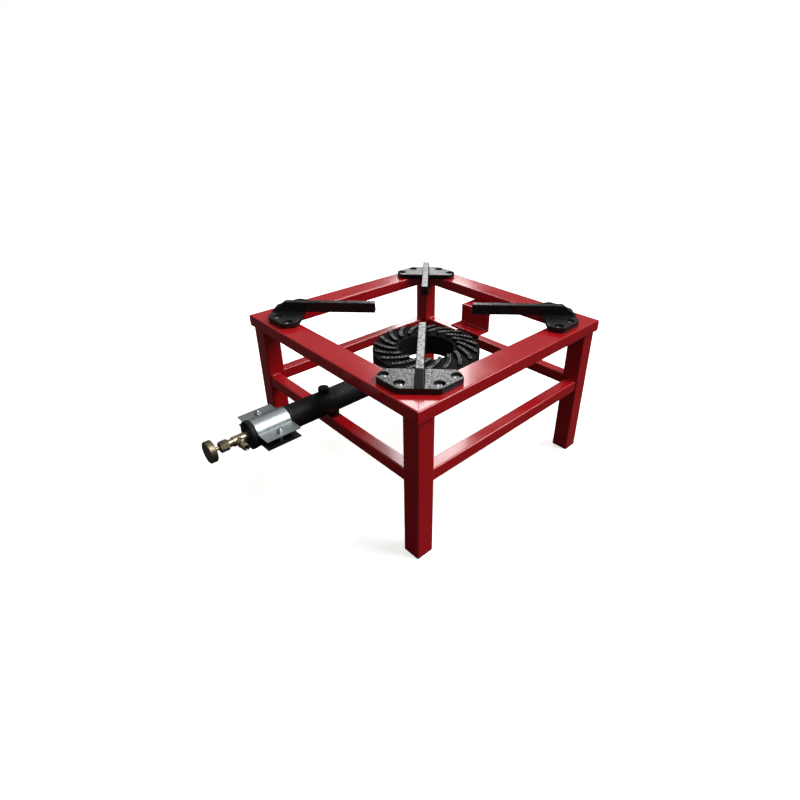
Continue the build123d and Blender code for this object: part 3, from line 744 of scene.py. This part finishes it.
class STOVE_OT_welds(bpy.types.Operator):
    """Makes the weld beads where the lower rails and the top rails meet the legs"""

    bl_idname = "stove.welds"
    bl_label = "Welds"

    def execute(self, context):
        sizes = context.scene.stove_sizes
        rail = "lower_rail_front"
        leg = "leg_front_right"
        rail_width = high(rail).y - low(rail).y
        leg_width = high(leg).y - low(leg).y
        seams = {
            "over": (middle(rail).y, high(rail).z, rail_width),
            "under": (middle(rail).y, low(rail).z, rail_width),
            "top": (middle(leg).y, high(leg).z, leg_width),
        }
        lay = Matrix.Rotation(math.radians(90), 4, "X")
        for seam, (y, z, width) in seams.items():
            bead = smooth(turned("bead", self.profile(sizes, WELD_SPAN * width), BEAD_STEPS), degrees=80)
            places = {}
            for side, degrees in SIDES.items():
                for end, x in (("a", low(leg).x), ("b", -low(leg).x)):
                    place = round_the_stand(degrees) @ Matrix.Translation((x, y, z)) @ lay
                    places[f"weld_{seam}_{side}_{end}"] = place
            set_out(bead, places, gloss_enamel_on_steel, STAND, "red_paint")
        return {"FINISHED"}

    @staticmethod
    def profile(sizes, span):
        """A rod of ripples with rounded ends, with its middle at zero."""
        ripples = round(span / sizes.weld_ripple)
        step = span / ripples
        points = [(0, -span / 2)]
        for k in range(ripples):
            start = -span / 2 + k * step
            points += [(share * sizes.weld_radius, start + at * step) for at, share in RIPPLE]
        return points + [(0, span / 2)]


class STOVE_OT_leg_plugs(bpy.types.Operator):
    """Finishes the moulded plugs under the legs"""

    bl_idname = "stove.leg_plugs"
    bl_label = "Leg plugs"

    def execute(self, context):
        edge = context.scene.stove_sizes.plug_edge
        for corner in CORNERS:
            finish_copy(f"leg_plug_{corner}", moulded_polyethylene, STAND, "black_plastic", edge)
        return {"FINISHED"}


class STOVE_OT_bracket(bpy.types.Operator):
    """Finishes the bent strap that hangs the back of the burner"""

    bl_idname = "stove.bracket"
    bl_label = "Rear bracket"

    def execute(self, context):
        edge = context.scene.stove_sizes.strap_edge
        finish_copy("rear_burner_bracket", gloss_enamel_on_steel, STAND, "red_paint", edge)
        return {"FINISHED"}


def rivet_spots(sizes):
    """Where the sixteen rivets stand on their seats, with a name for each."""
    rail_middle = high("support_rivets").x - sizes.rivet_flange / 2
    seat = high("support_rivets").z - sizes.rivet_dome
    far = rail_middle - sizes.rivet_near_corner
    near = rail_middle - sizes.rivet_far_corner
    spots = {}
    for side, degrees in SIDES.items():
        for k, x in enumerate((-far, -near, near, far)):
            spot = Vector((x, stand_middle.y - rail_middle, seat))
            spots[f"{side}_{k + 1}"] = round_the_stand(degrees) @ spot
    return spots


def within(node, spot):
    """Whether a spot lies in a node's box as seen from above."""
    return all(low(node)[k] < spot[k] < high(node)[k] for k in (0, 1))


class STOVE_OT_pan_supports(bpy.types.Operator):
    """Finishes the four cast pan supports, with rounded edges and ground arm tops"""

    bl_idname = "stove.pan_supports"
    bl_label = "Pan supports"

    def execute(self, context):
        sizes = context.scene.stove_sizes
        node = "pan_support_front_right"
        first = merged_copy(node)
        first.name = "pan_support"
        spots = [spot for spot in rivet_spots(sizes).values() if within(node, spot)]
        self.close_seats(first, spots, sizes.rivet_seat / 2)
        soften(first, sizes.casting_edge)
        for spot in spots:
            combine(first, self.seat_cutter(sizes, spot, low(node).z - spot.z), "DIFFERENCE")
        smooth(first)
        for k, corner in enumerate(CORNERS):
            node = f"pan_support_{corner}"
            piece = copied(first, f"{node}_finished", round_the_stand(90 * k))
            dress(piece, cast_iron_ground_on_top, STAND, "black_cast_iron", node)
        bpy.data.objects.remove(first)
        return {"FINISHED"}

    @staticmethod
    def close_seats(piece, spots, radius):
        """Takes the faces of the many-sided seats and rivet holes out and closes the plate over them."""
        select_only(piece)
        bpy.ops.object.mode_set(mode="EDIT")
        bpy.ops.mesh.select_mode(type="FACE")
        bpy.ops.mesh.select_all(action="DESELECT")
        form = bmesh.from_edit_mesh(piece.data)
        for face in form.faces:
            face.select_set(any(all((v.co - s).xy.length < radius for v in face.verts) for s in spots))
        bmesh.update_edit_mesh(piece.data)
        bpy.ops.mesh.delete(type="FACE")
        bpy.ops.mesh.select_mode(type="EDGE")
        bpy.ops.mesh.select_non_manifold()
        bpy.ops.mesh.fill_holes(sides=0)
        bpy.ops.mesh.select_all(action="SELECT")
        bpy.ops.mesh.normals_make_consistent(inside=False)
        bpy.ops.mesh.dissolve_limited(angle_limit=SAME_PLANE)
        bpy.ops.object.mode_set(mode="OBJECT")

    @staticmethod
    def seat_cutter(sizes, spot, bottom):
        """The space of a round seat with a chamfered mouth, and of the rivet's hole under it."""
        radius = sizes.rivet_seat / 2
        hole = sizes.rivet_hole / 2
        mouth = sizes.seat_depth
        lip = sizes.seat_lip
        profile = [(0, bottom - lip), (hole, bottom - lip), (hole, 0), (radius, 0), (radius, mouth - lip)]
        profile += [(radius + 2 * lip, mouth + lip), (0, mouth + lip)]
        return settle(turned("seat_cutter", profile), Matrix.Translation(spot))


class STOVE_OT_rivets(bpy.types.Operator):
    """Makes the sixteen blind rivets: domed flange, broken mandrel in the middle, swollen tail"""

    bl_idname = "stove.rivets"
    bl_label = "Rivets"

    def execute(self, context):
        sizes = context.scene.stove_sizes
        rivet = smooth(turned("rivet", self.profile(sizes), ROD_STEPS))
        places = {f"rivet_{name}": Matrix.Translation(spot) for name, spot in rivet_spots(sizes).items()}
        set_out(rivet, places, zinc_plated_steel, STAND, "zinc_steel", "support_rivets")
        return {"FINISHED"}

    @staticmethod
    def profile(sizes):
        """From the mandrel's broken end, over the dome, down the shank to the tail."""
        flange = sizes.rivet_flange / 2
        mandrel = sizes.rivet_mandrel / 2
        shank = sizes.rivet_shank / 2
        dome = sizes.rivet_dome
        brim = sizes.rivet_brim
        edge = sizes.rivet_edge
        points = [(0, brim + edge), (MANDREL_BOTTOM * mandrel, brim), (mandrel, dome - sizes.rivet_lip_depth)]
        crown = mandrel + sizes.rivet_lip
        for lean in QUARTER:
            points.append((crown + (flange - crown) * math.sin(lean), brim + (dome - brim) * math.cos(lean)))
        tail = low("support_rivets").z - (high("support_rivets").z - dome)
        points += [(flange - edge, 0), (shank, 0)]
        points += [(shank * wide, tail * deep) for wide, deep in RIVET_TAIL]
        return points + [(0, tail)]


class STOVE_OT_burner(bpy.types.Operator):
    """Finishes the cast burner: ring head with swirl ribs, and bowl with mixing tube"""

    bl_idname = "stove.burner"
    bl_label = "Burner"

    def execute(self, context):
        sizes = context.scene.stove_sizes
        slot = "black_cast_iron"
        dress(self.make_head(sizes), cast_iron_worn_and_highlit_on_ribs, STAND, slot, "burner_head")
        finish_copy("burner_body", black_painted_cast_iron, STAND, slot, sizes.casting_edge, degrees=50)
        return {"FINISHED"}

    def make_head(self, sizes):
        """A ring with swirl ribs, ports down through each rib, and bosses for its screws underneath."""
        joint = high("burner_head").z - sizes.rib_height
        boss_depth = joint - low("burner_head").z
        head = turned("burner_head_finished", self.plate_profile(sizes), RING_STEPS)
        # Half a step of turn keeps the bosses' edges off the corners of the holes.
        boss_root = sizes.head_thickness / 2
        boss = self.rod_under_head(sizes, sizes.head_boss / 2, -boss_depth, boss_root, turn=0.5)
        combine(head, round_the_axis(boss, HEAD_SCREWS), "UNION")
        hole_radius = sizes.head_screw / 2 + SCREW_ROOM
        hole = self.rod_under_head(sizes, hole_radius, -boss_depth - OVERCUT, sizes.head_tapping, turn=0)
        combine(head, round_the_axis(hole, HEAD_SCREWS), "DIFFERENCE")
        combine(head, round_the_axis(self.swirl_rib(sizes), sizes.rib_count), "UNION")
        combine(head, round_the_axis(self.port_row(sizes), sizes.rib_count), "DIFFERENCE")
        return smooth(settle(head, Matrix.Translation((burner_middle.x, burner_middle.y, joint))))

    @staticmethod
    def plate_profile(sizes):
        """The flat ring under the ribs, its upper rims chamfered."""
        inner = sizes.ring_hole_radius
        outer = high("burner_head").x
        top = sizes.head_thickness
        edge = sizes.head_edge
        points = [(inner, 0), (outer, 0), (outer, top - edge), (outer - edge, top)]
        return points + [(inner + edge, top), (inner, top - edge), (inner, 0)]

    @staticmethod
    def rib_point(sizes, share):
        """A point on a rib's crest, from its inner end to its outer end, clockwise from above."""
        radius = sizes.rib_inner_radius + share * (sizes.rib_outer_radius - sizes.rib_inner_radius)
        turn = -share * sizes.rib_sweep
        height = sizes.rib_height - share * sizes.rib_fall
        return Vector((radius * math.cos(turn), radius * math.sin(turn), height))

    def swirl_rib(self, sizes):
        """One raised rib with a rounded crest, its foot sunk in the head."""
        rib = drawn("rib", [self.rib_point(sizes, k / RIB_STEPS) for k in range(RIB_STEPS + 1)])
        foot = sizes.head_thickness / 2
        bpy.ops.mesh.select_mode(type="EDGE")
        bpy.ops.mesh.extrude_edges_move(TRANSFORM_OT_translate={"value": (0, 0, foot - sizes.rib_height)})
        bpy.ops.transform.resize(value=(1, 1, 0), center_override=(0, 0, foot))
        bpy.ops.object.mode_set(mode="OBJECT")
        apply_modifier(rib, "SOLIDIFY", thickness=sizes.rib_width, offset=0, use_even_offset=True)
        return soften(rib, sizes.rib_rounding, segments=3)

    def port_row(self, sizes):
        """The spaces of one rib's ports, as one object."""
        shape = Matrix.Diagonal((sizes.port_width, sizes.port_width, sizes.rib_height + 2 * OVERCUT, 1))
        cutters = []
        for k in range(sizes.ports_in_rib):
            spot = self.rib_point(sizes, (k + 0.5) / sizes.ports_in_rib)
            place = Matrix.Translation((spot.x, spot.y, sizes.rib_height / 2))
            bpy.ops.object.select_all(action="DESELECT")
            bpy.ops.mesh.primitive_cube_add(size=1)
            turn = spin(math.atan2(spot.y, spot.x) - sizes.rib_sweep)
            cutters.append(settle(bpy.context.object, place @ turn @ shape))
        return joined(cutters)

    @staticmethod
    def rod_under_head(sizes, radius, bottom, top, turn):
        """An upright rod where the hindmost screw of the head stands, turned by a share of a step."""
        rod = turned("rod", [(0, bottom), (radius, bottom), (radius, top), (0, top)], ROD_STEPS)
        place = Matrix.Translation((0, head_screw_radius(sizes), 0))
        return settle(rod, place @ spin(turn * 2 * math.pi / ROD_STEPS))


def head_screw_radius(sizes):
    """From the burner's axis to the screws that hold its head."""
    return (high("burner_head").x + sizes.ring_hole_radius) / 2


class STOVE_OT_burner_fixings(bpy.types.Operator):
    """Makes the burner's bolts and the screws under its head"""

    bl_idname = "stove.burner_fixings"
    bl_label = "Burner fixings"

    def execute(self, context):
        sizes = context.scene.stove_sizes
        for node in ("burner_front_bolt", "burner_rear_bolt"):
            seat = low(node).z + HEAD_HEIGHT * sizes.fixing_bolt
            bolt = hex_bolt(f"{node}_finished", sizes.fixing_bolt, high(node).z - seat, sizes.thread_pitch)
            smooth(settle(bolt, Matrix.Translation((0, middle(node).y, seat))))
            dress(bolt, zinc_plated_steel, STAND, "zinc_steel", node)
        self.make_head_screws(sizes)
        return {"FINISHED"}

    @staticmethod
    def make_head_screws(sizes):
        """The screws from below, the first of them at the back."""
        node = "burner_head_screws"
        seat = low(node).z + HEAD_HEIGHT * sizes.head_screw
        screw = smooth(hex_bolt("head_screw", sizes.head_screw, high(node).z - seat, sizes.thread_pitch))
        places = {}
        for k in range(HEAD_SCREWS):
            turn = math.pi / 2 + 2 * math.pi * k / HEAD_SCREWS
            spot = burner_middle + head_screw_radius(sizes) * Vector((math.cos(turn), math.sin(turn), 0))
            places[f"head_screw_{k + 1}"] = Matrix.Translation((spot.x, spot.y, seat))
        set_out(screw, places, zinc_plated_steel, STAND, "zinc_steel", node)


class STOVE_OT_air_shutter(bpy.types.Operator):
    """Finishes the two sheet shells of the air shutter"""

    bl_idname = "stove.air_shutter"
    bl_label = "Air shutter"

    def execute(self, context):
        edge = context.scene.stove_sizes.sheet_edge
        finish_copy("shutter_upper_shell", galvanised_steel_sheet, SHUTTER, "galvanised_sheet", edge)
        # The lower shell is darkened to paint the shade under the upper shell's flanges.
        finish_copy("shutter_lower_shell", galvanised_sheet_in_painted_shade, SHUTTER, "galvanised_sheet", edge)
        return {"FINISHED"}


class STOVE_OT_shutter_fixings(bpy.types.Operator):
    """Makes the bolts and nuts that clamp the shutter's flanges"""

    bl_idname = "stove.shutter_fixings"
    bl_label = "Shutter fixings"

    def execute(self, context):
        sizes = context.scene.stove_sizes
        seat = low("shutter_bolts").z + HEAD_HEIGHT * sizes.shutter_bolt
        reach = high("shutter_bolts").z - seat
        first_bolt = hex_bolt("shutter_bolt", sizes.shutter_bolt, reach, sizes.thread_pitch)
        first_nut = hex_nut("shutter_nut", sizes.shutter_bolt)
        y = middle("shutter_bolts").y
        for name, side in (("left", -1), ("right", 1)):
            x = side * sizes.shutter_bolt_offset
            bolt = copied(first_bolt, f"shutter_bolt_{name}", Matrix.Translation((x, y, seat)))
            nut = copied(first_nut, f"shutter_nut_{name}", Matrix.Translation((x, y, low("shutter_nuts").z)))
            for piece, node in ((bolt, "shutter_bolts"), (nut, "shutter_nuts")):
                dress(smooth(piece), zinc_plated_steel, SHUTTER, "zinc_steel", node)
        bpy.data.objects.remove(first_bolt)
        bpy.data.objects.remove(first_nut)
        return {"FINISHED"}


class STOVE_OT_valve(bpy.types.Operator):
    """Makes the brass valve: body with its branch, hose nozzle, gland nut, spindle, jet and packing"""

    bl_idname = "stove.valve"
    bl_label = "Gas valve"

    def execute(self, context):
        sizes = context.scene.stove_sizes
        finish_copy("valve_body", machined_brass, STAND, "brass", sizes.turned_edge)
        finish_copy("injector_jet", machined_brass, STAND, "brass")
        dress(self.hose_nozzle(sizes), machined_brass, STAND, "brass", "hose_nozzle")
        dress(self.gland_nut(sizes), tarnished_brass, STAND, "brass", "gland_nut")
        finish_copy("valve_spindle", machined_brass, SPINDLE, "brass")
        finish_copy("gland_packing", braided_graphite, STAND, "packing")
        return {"FINISHED"}

    @staticmethod
    def hose_nozzle(sizes):
        """Thread, collar and rounded barbs, turned round a bore."""
        node = "hose_nozzle"
        bore = sizes.nozzle_bore / 2
        root = sizes.nozzle_root / 2
        crest = sizes.nozzle_crest / 2
        collar = high(node).z - axis_z
        edge = sizes.turned_edge
        start = sizes.nozzle_thread
        end = start + sizes.nozzle_collar
        thread = thread_profile(sizes.nozzle_thread_diameter / 2, 0, start, sizes.thread_pitch)
        profile = [(bore, 0), *thread, (collar - edge, start), (collar, start + edge)]
        profile += [(collar, end - edge), (collar - edge, end), (root, end)]
        reach = high(node).x - low(node).x
        land = sizes.nozzle_land
        step = land + sizes.nozzle_slope
        at = end + land
        while at < reach - step / 2:
            profile += [(root, at), (crest - edge, at), (crest, at + edge), (crest, at + land - edge)]
            profile += [(crest - BARB_FALL * edge, at + land)]
            at += step
        profile += [(root, reach), (bore + edge, reach), (bore, reach - edge), (bore, 0)]
        place = along_branch(low(node).x, middle(node).y)
        return smooth(settle(turned("hose_nozzle_finished", profile), place))

    @staticmethod
    def gland_nut(sizes):
        """A hexagon with chamfered corners, bored for the spindle and tapped for the bonnet."""
        flats = high("gland_nut").z - low("gland_nut").z
        span = high("gland_nut").y - low("gland_nut").y
        nut = hexagon("gland_nut_finished", flats, span)
        hole = sizes.spindle_bore / 2
        tapped = sizes.bonnet_bore / 2
        edge = sizes.turned_edge
        wall = sizes.nut_wall
        profile = [(0, -OVERCUT), (hole + edge, -OVERCUT), (hole + edge, 0), (hole, edge), (hole, wall)]
        profile += [(tapped, wall), (tapped, span - edge), (tapped + edge, span)]
        profile += [(tapped + edge, span + OVERCUT), (0, span + OVERCUT)]
        combine(nut, turned("gland_nut_bore", profile), "DIFFERENCE")
        corners_sideways = spin(math.radians(90))
        return smooth(settle(nut, along_tube(low("gland_nut").y) @ corners_sideways))


class STOVE_OT_knob(bpy.types.Operator):
    """Makes the brass hand knob and its slotted screw"""

    bl_idname = "stove.knob"
    bl_label = "Knob"

    def execute(self, context):
        knob = turned("knob_finished", self.profile(context.scene.stove_sizes), KNOB_STEPS)
        smooth(settle(knob, along_tube(low("knob").y)))
        dress(knob, tarnished_brass, KNOB, "brass", "knob")
        finish_copy("knob_screw", zinc_plated_steel, KNOB, "zinc_steel")
        return {"FINISHED"}

    @staticmethod
    def profile(sizes):
        """From the screw's sink over the dished front, round the rim and back through the spindle's hole."""
        radius = high("knob").x
        thick = high("knob").y - low("knob").y
        rim = sizes.knob_rim
        dish = sizes.knob_dish
        sink = sizes.knob_screw_head / 2
        screw = sizes.knob_screw / 2
        hub = sink + rim
        dish_edge = radius - sizes.knob_band
        points = [(sink, 0), (hub, 0), (hub + rim, dish), (dish_edge - rim, dish), (dish_edge, 0)]
        points += [(radius - rim + rim * math.sin(a), rim - rim * math.cos(a)) for a in QUARTER]
        points += [(radius - rim + rim * math.cos(a), thick - rim + rim * math.sin(a)) for a in QUARTER]
        socket = thick - sizes.knob_socket
        bore = sizes.spindle_bore / 2
        return points + [(bore, thick), (bore, socket), (screw, socket), (screw, sink - screw), (sink, 0)]


class STOVE_OT_stage(bpy.types.Operator):
    """Makes the pale floor, the soft lights and the camera"""

    bl_idname = "stove.stage"
    bl_label = "Stage"

    def execute(self, context):
        scene = context.scene
        studio = scene.stove_studio
        scene.view_settings.view_transform = "Standard"
        self.make_floor(scene.stove_colours.floor, studio)
        self.make_world(scene, studio)
        self.make_lights(scene, studio)
        self.make_camera(scene, studio)
        return {"FINISHED"}

    @staticmethod
    def make_floor(pale, studio):
        """A wide matt floor; the eye sees it pale, and it throws little light back up."""
        bpy.ops.object.select_all(action="DESELECT")
        bpy.ops.mesh.primitive_plane_add(size=studio.floor_size)
        floor = bpy.context.object
        floor.name = "floor"
        paint = bpy.data.materials.new("matt_studio_floor")
        tree = empty_tree(paint)
        seen = add(tree, "LightPath").outputs["Is Camera Ray"]
        dim = scaled(pale, studio.floor_bounce)
        tone = add(tree, "Mix", {SHARE: seen, FIRST: dim, SECOND: pale}, data_type="RGBA")
        matt = add(tree, "BsdfDiffuse", {"Color": tone})
        glow = add(tree, "Math", {0: seen, 1: studio.floor_glow}, operation="MULTIPLY")
        lift = add(tree, "Emission", {"Color": pale, "Strength": glow})
        both = add(tree, "AddShader", {0: matt, 1: lift})
        add(tree, "OutputMaterial", {"Surface": both})
        floor.data.materials.append(paint)

    @staticmethod
    def make_world(scene, studio):
        """White behind the stove, and a dim sky that fades towards the horizon."""
        white = (1, 1, 1)
        scene.world = bpy.data.worlds.new("studio_surround")
        tree = empty_tree(scene.world)
        seen = add(tree, "LightPath").outputs["Is Camera Ray"]
        way = add(tree, "TexCoord").outputs["Generated"]
        height = add(tree, "SeparateXYZ", {"Vector": way}).outputs["Z"]
        zenith = studio.fill_strength
        sky = add(tree, "MapRange", {"Value": height, "To Min": studio.horizon * zenith, "To Max": zenith})
        fill = add(tree, "Background", {"Color": white, "Strength": sky})
        backdrop = add(tree, "Background", {"Color": white, "Strength": 1.0})
        both = add(tree, "MixShader", {0: seen, 1: fill, 2: backdrop})
        add(tree, "OutputWorld", {"Surface": both})

    @staticmethod
    def make_lights(scene, studio):
        """A broad light from above, behind and to the right, and a soft panel behind for the glare."""
        sun = bpy.data.lights.new("overhead", "SUN")
        sun.energy = studio.sun_strength
        sun.angle = studio.sun_spread
        overhead = bpy.data.objects.new("overhead", sun)
        scene.collection.objects.link(overhead)
        overhead.rotation_euler = Vector(studio.sun_direction).to_track_quat("Z", "Y").to_euler()

        area = bpy.data.lights.new("panel", "AREA")
        area.shape = "RECTANGLE"
        area.size = studio.panel_width
        area.size_y = studio.panel_height
        area.energy = studio.panel_power
        panel = bpy.data.objects.new("panel", area)
        scene.collection.objects.link(panel)
        behind = studio.azimuth - studio.panel_turn
        back = Vector((-math.sin(behind), math.cos(behind), math.tan(studio.panel_elevation)))
        panel.location = Vector(studio.target) + studio.panel_distance * back
        panel.rotation_euler = back.to_track_quat("Z", "Y").to_euler()
        panel.visible_camera = False

    @staticmethod
    def make_camera(scene, studio):
        """The photograph's viewpoint."""
        data = bpy.data.cameras.new("viewpoint")
        data.lens = studio.lens
        data.shift_x, data.shift_y = studio.shift
        data.clip_start = studio.nearest
        camera = bpy.data.objects.new("viewpoint", data)
        scene.collection.objects.link(camera)
        turn = spin(studio.azimuth)
        tip = Matrix.Rotation(math.pi / 2 - studio.elevation, 4, "X")
        back_off = Matrix.Translation((0, 0, studio.distance))
        camera.matrix_world = Matrix.Translation(studio.target) @ turn @ tip @ back_off @ spin(studio.roll)
        scene.camera = camera


OPERATORS = (
    STOVE_OT_stand,
    STOVE_OT_welds,
    STOVE_OT_leg_plugs,
    STOVE_OT_bracket,
    STOVE_OT_pan_supports,
    STOVE_OT_rivets,
    STOVE_OT_burner,
    STOVE_OT_burner_fixings,
    STOVE_OT_air_shutter,
    STOVE_OT_shutter_fixings,
    STOVE_OT_valve,
    STOVE_OT_knob,
    STOVE_OT_stage,
)


GROUPS = {"stove_sizes": StoveSizes, "stove_colours": StoveColours, "stove_studio": StoveStudio}


class STOVE_PT_pieces(bpy.types.Panel):
    """Lists the stove's operators, sizes, colours and studio"""

    bl_idname = "STOVE_PT_pieces"
    bl_label = "Portable gas stove"
    bl_space_type = "VIEW_3D"
    bl_region_type = "UI"
    bl_category = "Stove"

    def draw(self, context):
        layout = self.layout
        for operator in OPERATORS:
            layout.operator(operator.bl_idname)
        for name, group in GROUPS.items():
            box = layout.box()
            for setting in group.__annotations__:
                box.prop(getattr(context.scene, name), setting)


def register():
    for kind in (*GROUPS.values(), *OPERATORS, STOVE_PT_pieces):
        bpy.utils.register_class(kind)
    for name, group in GROUPS.items():
        setattr(bpy.types.Scene, name, bpy.props.PointerProperty(type=group))


def unregister():
    for name in GROUPS:
        delattr(bpy.types.Scene, name)
    for kind in (STOVE_PT_pieces, *reversed(OPERATORS), *GROUPS.values()):
        bpy.utils.unregister_class(kind)


def main():
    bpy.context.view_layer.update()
    register()
    for operator in OPERATORS:
        group, name = operator.bl_idname.split(".")
        getattr(getattr(bpy.ops, group), name)()


if __name__ == "__main__":
    main()
